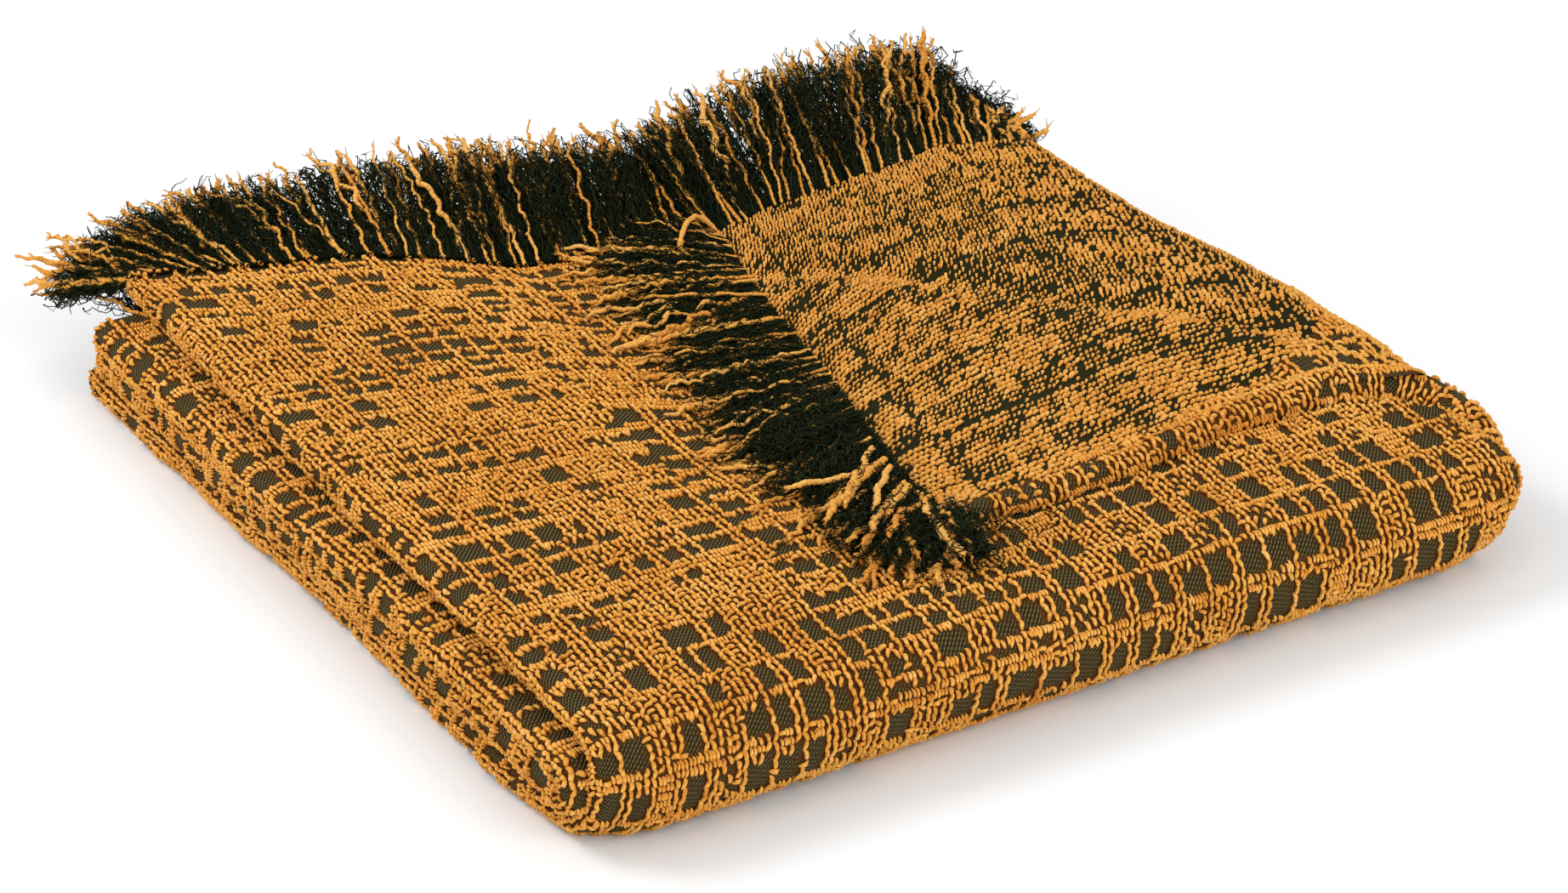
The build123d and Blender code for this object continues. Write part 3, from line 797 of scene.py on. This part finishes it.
# the layers between the outer ones, which fill the stack
for i in range(9):
    z = 5.5 + i * 4.9
    xs, ys = np.linspace(-198, 205, 60), np.linspace(0, 1, 60)
    X, T = np.meshgrid(xs, ys, indexing="ij")
    y1 = low_back_edge(X) - 6 - 20 * smooth(z, 24, 44) * smooth(X, -120, 0)
    y1 = np.minimum(y1, np.where(z > 38, back_edge(X) - 4, y1))
    Y = -205.0 + T * (y1 + 205.0)
    Z = z + 0.5 * n1(X / 40 + i, Y / 40)
    g = np.stack([X, Y, Z], -1)
    idx = np.arange(3600).reshape(60, 60)
    q = np.stack([idx[:-1, :-1], idx[1:, :-1], idx[1:, 1:], idx[:-1, 1:]], -1).reshape(-1, 4)
    cloth.add(g.reshape(-1, 3), q, np.stack([X.ravel(), Y.ravel()], 1))
woven_cloth = cloth.make("woven_cloth", M_twill)

fb = Bag()
P, q, uv = S_flap.grid(2)
fb.add(P, q if not S_flap.flipped else q[:, ::-1], uv)
# underside of the flap, so that it has its real thickness; its edges are left open
Pu = P - 3.2 * S_flap.N[::2, ::2].reshape(-1, 3)
fb.add(Pu, q[:, ::-1] if not S_flap.flipped else q, uv)
flap_cloth = fb.make("turned_back_flap_cloth", M_green)

# golden yarns of the patchwork face, in the pieces of cloth that it is seen on
def under_flap(u, v):
    x = XL + u
    y = YC + (-v)
    inside = (x > 45) & (u < XR0 - XL + 3) & (v < -50) & (-v / LT > 0.16)
    return ~inside


def lay(name, *parts):
    bag = Bag()
    for S, off, u0, u1, v0, v1, seed, keep in parts:
        weave_a(bag, S, u0, u1, v0, v1, seed, kinds=K, c_off=OFF[off][0], r_off=OFF[off][1], keep=keep, fill={"cuff": 0.16}.get(off, 0.0))
    return bag.make(name, M_gold)


AI = math.pi * (RUN + 0.15)
top_yarns = lay("top_golden_yarns", (S_out, "out", -SL + 1.5, u_top1, -LT - 2, 0, 101, under_flap))
front_yarns = lay("front_fold_golden_yarns", (S_out, "out", -SL - 1, u_top1, 0, ARC + 26, 102, None))
side_yarns = lay("side_roll_golden_yarns",
                 (S_out, "out", -SL - 3, 12, ARC + 26, ARC + LT + 2, 103, None),
                 (S_out, "out", u_top1 - 34, u_top1, ARC + 26, ARC + LT - 1, 104, None),
                 (S_in, "inn", -SL - 3, 24, -LT - 2, AI + LT + 2, 105, lambda u, v: (u < 24) & (((u < 11) | (v < 20)))))
cuff_yarns = lay("cuff_golden_yarns", (Round(), "cuff", 2, CUFF_L, -3, 70, 106, lambda u, v: np.abs(v - 35) < np.where(u > CUFF_L - 75, 3.1, 2.45) * cuff_r(u)),
                 (S_flap, "cuff", 1, FW + 30 * math.pi / 2 + 8 - 0.4, 1, 132, 109, lambda u, v: v < a_side(u)))
back_yarns = lay("back_golden_yarns", (S_wall, "wall", -218, 475, 1, 33, 107, None),
                 (S_roll, "roll", -223, 223, 0, math.pi * (RUN + 0.6) - 1, 108, None))
ft = Bag()
weave_b(ft, S_flap, 1, FW + 30 * math.pi / 2 + 8 - 0.4, 1, FD - 1, 201)
flap_yarns = ft.make("flap_golden_dashes", M_goldb)


# --------------------------------------------------------------- the fringes
def tube(bag, path, rad, sides, shade, ply=None):
    """Many tubes at once.  path (n, m, 3), rad (n, m)."""
    n, m = path.shape[:2]
    T = np.gradient(path, axis=1)
    T /= np.maximum(np.linalg.norm(T, axis=2, keepdims=True), 1e-9)
    ref = np.where(np.abs(T[..., 2:3]) > 0.9, np.array([1.0, 0, 0]), np.array([0, 0, 1.0]))
    A = np.cross(T, ref)
    A /= np.maximum(np.linalg.norm(A, axis=2, keepdims=True), 1e-9)
    B = np.cross(T, A)
    ang = np.arange(sides) / sides * 2 * math.pi
    tw = 0 if ply is None else ply
    r = rad[:, :, None]
    if ply is not None:
        r = r * (1 + 0.24 * np.cos(2 * (ang[None, None, :] - ply[:, :, None])))
    a = ang[None, None, :] + 0 * r
    P = path[:, :, None, :] + A[:, :, None, :] * (r * np.cos(a))[..., None] + B[:, :, None, :] * (r * np.sin(a))[..., None]
    idx = np.arange(n * m * sides).reshape(n, m, sides)
    q = np.stack([idx[:, :-1, :], idx[:, 1:, :], np.roll(idx[:, 1:, :], -1, 2), np.roll(idx[:, :-1, :], -1, 2)], -1).reshape(-1, 4)
    s = np.concatenate([np.zeros((n, 1)), np.cumsum(np.linalg.norm(np.diff(path, axis=1), axis=2), axis=1)], 1)
    uv = np.stack([np.broadcast_to(s[:, :, None], P.shape[:3]), np.broadcast_to(np.arange(sides)[None, None, :] / sides, P.shape[:3])], -1).reshape(-1, 2)
    sh = np.broadcast_to(shade[:, None, None], P.shape[:3]).ravel()
    bag.add(P.reshape(-1, 3), q, uv, sh)


def fringe(rng, base, head, rise, length, n, m, wave, curl, clump, droop=0.0, floor=None, spread=0.10, z_jit=0.5, len_jit=0.08, start_up=0.0,
           shift=(0.0, 0.0), reach=1.0, pull=0.5, sink=0.0, lift=None, hook=0.0, clump_mm=11.0):
    """Paths of n yarns along a row: base, heading, rise and length are stations from one end to the other.  Yarns gather in clumps."""
    t = (np.arange(n) + rng.uniform(-0.45, 0.45, n)) / n
    t = np.clip(t, 0, 1)
    k = np.linspace(0, 1, len(base))
    I = lambda a: np.interp(t, k, a)
    base = np.array(base, float)
    row = np.linalg.norm(np.diff(base, axis=0), axis=1).sum()
    head = np.array(head, float)
    head /= np.linalg.norm(head, axis=1, keepdims=True)
    B = np.stack([I(base[:, i]) for i in range(3)], 1)
    Hd = np.stack([I(head[:, 0]), I(head[:, 1])], 1)
    Hd /= np.linalg.norm(Hd, axis=1, keepdims=True)
    nc = row / clump_mm
    gz = Noise(clump)
    az = rng.normal(0, spread, n) + 0.16 * gz(t * nc * 0.6, 0.5 + 0 * t)
    c, s = np.cos(az), np.sin(az)
    Hd = np.stack([Hd[:, 0] * c - Hd[:, 1] * s, Hd[:, 0] * s + Hd[:, 1] * c], 1)
    L = I(length) * reach * (1 + rng.normal(0, len_jit, n)) * (1 + 0.10 * gz(t * nc, 7.5 + 0 * t))
    up = I(rise) * reach * (1 + rng.normal(0, 0.08, n)) + rng.normal(0, 1.3, n) + 2.4 * gz(t * nc * 0.8, 3.3 + 0 * t) - sink
    B[:, 2] += rng.normal(0, z_jit, n) + shift[1]
    B[:, :2] += Hd * shift[0]
    f = np.linspace(0, 1, m)[None, :]
    el = np.arcsin(np.clip(up / L, -0.95, 0.95))[:, None]
    dist = L[:, None] * f
    if lift is not None:
        B[:, 2] += np.interp(t, np.linspace(0, 1, len(lift)), lift)
    if hook:
        g = np.clip((f - 0.72) / 0.28, 0, 1)
        dist = L[:, None] * (np.minimum(f, 0.72) + rng.uniform(0.06, 0.22, (n, 1)) * np.sin(g * math.pi * rng.uniform(0.5, 1.0, (n, 1))))
    hor = dist * np.cos(el)
    ver = dist * np.sin(el) + start_up * np.sin(f * math.pi) - droop * f ** 2.2
    side = np.stack([-Hd[:, 1], Hd[:, 0]], 1)
    off = np.zeros((n, m))
    offz = np.zeros((n, m))
    for amp, per in wave:
        ph, ph2 = rng.uniform(0, 2 * math.pi, (n, 1)), rng.uniform(0, 2 * math.pi, (n, 1))
        a1 = amp * rng.uniform(0.4, 1.4, (n, 1))
        p1 = per * rng.uniform(0.75, 1.3, (n, 1))
        off += a1 * (np.sin(dist / p1 * 2 * math.pi + ph) - np.sin(ph)) * np.clip(f * 3, 0, 1)
        offz += 0.8 * a1 * (np.sin(dist / p1 * 2 * math.pi + ph2) - np.sin(ph2)) * np.clip(f * 3, 0, 1)
    bend = rng.normal(0, curl, (n, 1)) * f ** 2 * L[:, None]
    # lean towards the middle of the clump
    ci = np.floor(t * nc + 0.35 * gz(t * nc * 1.7, 11.5 + 0 * t))
    mid = np.clip((ci + 0.5) / nc, 0.02, 0.98)
    along_row = np.stack([np.gradient(base[:, 0]), np.gradient(base[:, 1])], 1)
    along_row /= np.maximum(np.linalg.norm(along_row, axis=1, keepdims=True), 1e-9)
    A2 = np.stack([I(along_row[:, 0]), I(along_row[:, 1])], 1)
    lean = pull * (mid - t)[:, None] * row * f ** 1.5
    off += bend
    if hook:
        off += hook * rng.normal(0, 1, (n, 1)) * g ** 1.5
        offz += hook * 0.7 * rng.normal(0, 1, (n, 1)) * g ** 1.5
    P = np.empty((n, m, 3))
    P[..., 0] = B[:, None, 0] + Hd[:, None, 0] * hor + side[:, None, 0] * off + A2[:, None, 0] * lean
    P[..., 1] = B[:, None, 1] + Hd[:, None, 1] * hor + side[:, None, 1] * off + A2[:, None, 1] * lean
    P[..., 2] = B[:, None, 2] + ver + offz
    if floor is not None:
        zf = floor(P[..., 0], P[..., 1])
        P[..., 2] = np.maximum(P[..., 2], zf + rng.uniform(0.2, 2.4, (n, 1)))
    return P, rng.uniform(0, 1, n)


def stack_top(x, y):
    """Height of what a fringe lies on."""
    z = np.where((y < back_edge(x)) & (x > XL - 4), H + 1.2 + top_swell(x, y), -50.0)
    return z


def strand_set(bag, rng, n, rad=0.98, wave=((0.8, 17.0), (0.45, 6.5), (0.20, 3.2)), curl=0.06, **kw):
    P, sh = fringe(rng, n=n, m=42, wave=wave, curl=curl, **kw)
    m = P.shape[1]
    s = np.concatenate([np.zeros((n, 1)), np.cumsum(np.linalg.norm(np.diff(P, axis=1), axis=2), axis=1)], 1)
    ply = s / 5.2 * 2 * math.pi + rng.uniform(0, 6.28, (n, 1))
    f = np.linspace(0, 1, m)[None, :]
    r = rad * (1 + rng.normal(0, 0.12, (n, 1))) * (1 + 0.24 * np.sin(2 * ply)) * np.clip(0.45 + 5 * (1 - f), 0, 1)
    tube(bag, P, r, 7, sh, ply)
    # the cut end frays into a few fibres
    k = 4
    tip, dirn = P[:, -3], P[:, -1] - P[:, -8]
    dirn /= np.maximum(np.linalg.norm(dirn, axis=1, keepdims=True), 1e-9)
    tip, dirn = np.repeat(tip, k, 0), np.repeat(dirn, k, 0)
    d2 = dirn + rng.normal(0, 0.34, dirn.shape)
    g = np.linspace(0, 1, 6)[None, :, None]
    ln = rng.uniform(1.5, 4.2, (len(tip), 1, 1))
    Q = tip[:, None] + ln * (dirn[:, None] * g * 0.6 + d2[:, None] * g ** 2 * 0.6) + 0.4 * rng.normal(0, 1, (len(tip), 1, 3)) * g
    tube(bag, Q, 0.42 * np.broadcast_to(1 - 0.6 * g[..., 0], Q.shape[:2]), 3, np.repeat(np.clip(sh + 0.2, 0, 1), k))


def hair_set(bag, rng, n, rad=0.28, m=22, **kw):
    P, sh = fringe(rng, n=n, m=m, wave=((1.9, 8.5), (1.2, 4.8)), curl=0.06, hook=2.4, **kw)
    f = np.linspace(0, 1, m)[None, :]
    r = rad * (1 + rng.normal(0, 0.14, (n, 1))) * np.clip(0.5 + 4 * (1 - f), 0, 1)
    tube(bag, P, r, 3, sh)


rows = {
    "back": dict(base=[(-206, 205, 49), (-190, 200, 50), (-170, 191, 50.5), (-147, 181, 50.5), (-112, 168, 50.5), (-79, 143, 50.5), (-59, 121, 50.5),
                       (-28, 113, 50.5), (8, 111, 50.5), (38, 112, 50.5)],
                 head=[(-0.80, 0.42), (-0.60, 0.8), (-0.34, 0.95), (-0.08, 1.0), (0.12, 1.0), (0.22, 1.0), (0.2, 1.0), (0.15, 1.0), (0.1, 1.0), (0.1, 1.0)],
                 rise=[-12, 4, 15, 17, 24, 32, 37, 39, 34, 30], length=[44, 54, 60, 60, 63, 67, 68, 68, 64, 64]),
    "flap_back": dict(base=[(29, 104, 55), (72, 118, 55.5), (114, 122, 55.5), (161, 131, 55.5), (181, 125, 55.5), (197, 117, 54.5), (204, 115, 52)],
                      head=[(-0.36, 1.0), (0.1, 1.0), (0.2, 1.0), (0.24, 1.0), (0.32, 1.0), (0.36, 0.95), (0.38, 0.9)],
                      rise=[37, 41, 42, 32, 10, -2, -10], length=[69, 67, 67, 63, 50, 42, 32]),
    "flap_side": dict(base=[(27, 101, 54.6), (16, 53, 54.2), (1, -29, 54.2), (-7, -68, 54.2), (-21, -141, 54.2), (-20, -160, 54)],
                      head=[(-0.45, 0.9), (-1.0, 0.18), (-1.0, -0.05), (-1.0, -0.28), (-0.8, -0.65), (-0.35, -1.0)],
                      rise=[6, 3, 2, 2, 2, 0], length=[62, 62, 62, 60, 55, 42]),
    "inner": dict(base=[(-208, 192, 36), (-100, 178, 38), (0, 138, 40), (110, 136, 40), (212, 126, 38)],
                  head=[(-0.2, 1.0), (0.0, 1.0), (0.05, 1.0), (0.1, 1.0), (0.2, 1.0)],
                  rise=[0, 8, 14, 14, 2], length=[46, 54, 58, 56, 48]),
}
fr = {}
rng = np.random.default_rng(77)
for i, (key, st) in enumerate(rows.items()):
    bs, bh = Bag(), Bag()
    ex = dict(st, clump=60 + i)
    if key == "back":
        ex.update(floor=stack_top)
    if key == "flap_side":
        ex.update(floor=stack_top, droop=4.0)
        # thin strands over the dark yarns, then strands under them whose tips show beyond
        strand_set(bs, rng, 58, rad=0.72, wave=((0.8, 16.0), (0.5, 6.0)), z_jit=0.8, len_jit=0.08, spread=0.10, pull=0.5, shift=(-3.0, 0.6),
                   lift=[2.1, 2.0, 1.9, 1.0, -0.4, 0.5], **ex)
        strand_set(bs, rng, 56, rad=1.10, wave=((1.2, 17.0), (0.7, 6.5), (0.25, 3.2)), curl=0.14, z_jit=1.2, len_jit=0.09, spread=0.16, pull=0.8, shift=(6.0, -1.0),
                   clump_mm=15.0, **ex)
        strand_set(bs, rng, 46, rad=1.05, wave=((1.2, 17.0), (0.7, 6.5), (0.25, 3.2)), curl=0.14, z_jit=1.2, len_jit=0.10, spread=0.16, pull=0.8, shift=(2.0, 0.6),
                   clump_mm=13.0, **dict(ex, length=[70, 70, 44, 16, 10, 8]))
        # the front corner hangs in thicker strands, some under the dark yarns and some over them
        for n, lay_z in ((18, 0.0), (12, 3.4)):
            strand_set(bs, rng, n, rad=1.26, wave=((0.9, 20.0), (0.6, 7.0), (0.25, 3.2)), curl=0.14, z_jit=1.2, len_jit=0.14, spread=0.26, pull=0.6, shift=(-1.0, lay_z),
                       base=[(-21, -108, 56.0), (-25, -134, 56.6), (-24, -150, 56.8), (-15, -163, 56.0)],
                       head=[(-0.95, -0.40), (-0.9, -0.6), (-0.65, -0.9), (-0.2, -1.0)], rise=[2, 2, 0, -1], length=[48, 46, 42, 32],
                       clump=64, floor=stack_top, droop=2.0)
        hair_set(bh, rng, 2300, rad=0.30, z_jit=1.3, spread=0.20, len_jit=0.16, reach=0.93, sink=0.0, shift=(-2.0, 0.2), lift=[0.5, 0.7, 1.0, 2.2, 3.2, 2.0], **ex)
        hair_set(bh, rng, 90, z_jit=1.6, spread=0.5, len_jit=0.22, base=[(-21, -136, 57.5), (-19, -152, 58), (-14, -160, 57)],
                 head=[(-0.9, -0.5), (-0.5, -0.9), (0.0, -1.0)], rise=[5, 5, 2], length=[42, 44, 38], clump=65, floor=stack_top)
    elif key == "inner":
        strand_set(bs, rng, 40, z_jit=0.7, len_jit=0.06, spread=0.09, pull=0.35, shift=(-3.0, 0.9), **ex)
        hair_set(bh, rng, 700, z_jit=1.2, spread=0.15, len_jit=0.10, reach=0.9, sink=1.5, shift=(-2.0, -0.8), **ex)
    else:
        n = 44 if key == "back" else 38
        # golden strands are shorter than the dark yarns at the right end of the flap's back edge
        sx = dict(ex) if key == "back" else dict(ex, length=[69, 67, 67, 58, 32, 15, 7])
        strand_set(bs, rng, n, rad=0.80, z_jit=0.7, len_jit=0.06, spread=0.09, pull=0.5, shift=(-3.0, 0.7), reach=0.94, **sx)
        # strands further back, of which mostly the tips show
        strand_set(bs, rng, int(n * 2.2), rad=1.08, wave=((1.4, 15.0), (0.7, 6.5)), curl=0.12, z_jit=0.9, len_jit=0.07, spread=0.13, pull=0.85, shift=(5.0, -1.0),
                   reach=0.94, sink=-1.6, clump_mm=23.0, **sx)
        hair_set(bh, rng, 2100 if key == "back" else 1700, z_jit=1.1, spread=0.13, len_jit=0.08, reach=0.99, sink=0.5, shift=(-2.0, -0.6), **ex)
    fr[key] = (bs.make(key + "_fringe_golden_strands", M_strand), bh.make(key + "_fringe_dark_green_yarns", M_hair))

# the strand that has worked loose
lp, _ = polyline([(30, 103, 56), (27, 106, 60), (20, 105, 66), (11, 98, 67.5), (4, 91, 64), (2, 87, 58), (1.5, 85, 55)], 4.0)
lp = along(lp, np.linspace(0, 1, 26))[None]
s = np.linspace(0, 46, 26)[None]
ply = s / 5.2 * 2 * math.pi
lb = Bag()
tube(lb, lp, 1.15 * (1 + 0.18 * np.sin(2 * ply)), 7, np.array([0.7]), ply)
loop = lb.make("loose_yarn_loop_strand", M_strand)

# ---------------------------------------------------------- ties to the frame
everything = [woven_cloth, flap_cloth, top_yarns, front_yarns, side_yarns, cuff_yarns, back_yarns, flap_yarns, loop]
for a, b in fr.values():
    everything += [a, b]
for o in everything:
    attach(o, "root")
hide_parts("bottom_panel", "second_panel", "third_panel", "inner_front_fold")
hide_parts("top_panel")
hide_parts("front_fold")
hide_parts("back_fold")
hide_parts("flap_front_cuff")
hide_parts("turned_back_flap")
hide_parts("flap_side_fold")
names = {"back": "back_fringe", "flap_back": "flap_back_fringe", "flap_side": "flap_side_fringe", "inner": "inner_end_fringe"}
for key, (a, b) in fr.items():
    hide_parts(names[key] + "_twisted_strands")
    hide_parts(names[key] + "_dark_yarns")
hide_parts("loose_yarn_loop")

# -------------------------------------------------------------- floor, light
fm, nt, b = mat_new("floor_paper")
b.inputs["Base Color"].default_value = (0.94, 0.953, 0.960, 1)
b.inputs["Roughness"].default_value = 0.9
b.inputs["Specular IOR Level"].default_value = 0.1
bpy.ops.mesh.primitive_plane_add(size=14, location=(0, 0, 0))
floor = bpy.context.object
floor.name = "floor"
floor.data.materials.append(fm)

world = bpy.data.worlds.new("studio")
bpy.context.scene.world = world
world.use_nodes = True
world.node_tree.nodes["Background"].inputs[0].default_value = (1.0, 1.0, 1.0, 1)
world.node_tree.nodes["Background"].inputs[1].default_value = 0.72


def area(name, loc, target, size, power):
    l = bpy.data.lights.new(name, "AREA")
    l.shape = "RECTANGLE"
    l.size, l.size_y, l.energy = size[0], size[1], power
    o = bpy.data.objects.new(name, l)
    bpy.context.scene.collection.objects.link(o)
    o.location = loc
    d = Vector(target) - Vector(loc)
    o.rotation_euler = d.to_track_quat("-Z", "Y").to_euler()
    return o


area("key", (-1.3, 1.2, 1.9), (0, 0, 0), (1.0, 1.0), 23.5)
area("front_fill", (0.5, -2.2, 1.6), (0, 0, 0.02), (1.6, 1.2), 23)
area("left_fill", (-2.2, -0.6, 1.0), (0, 0, 0.02), (1.0, 1.0), 5)

cam = bpy.data.cameras.new("camera")
cam.sensor_width = 36
cam.lens = 98.727
cam.clip_start, cam.clip_end = 0.05, 50
co = bpy.data.objects.new("camera", cam)
bpy.context.scene.collection.objects.link(co)
el, az = math.radians(28.8), math.radians(30.8)
d = Vector((math.sin(az) * math.cos(el), math.cos(az) * math.cos(el), -math.sin(el)))
r = Vector((math.cos(az), -math.sin(az), 0))
up = r.cross(d)
co.matrix_world = Matrix(((r.x, up.x, -d.x, -0.8216), (r.y, up.y, -d.y, -1.3825), (r.z, up.z, -d.z, 0.8891), (0, 0, 0, 1)))
bpy.context.scene.camera = co
bpy.context.scene.view_settings.view_transform = "Standard"
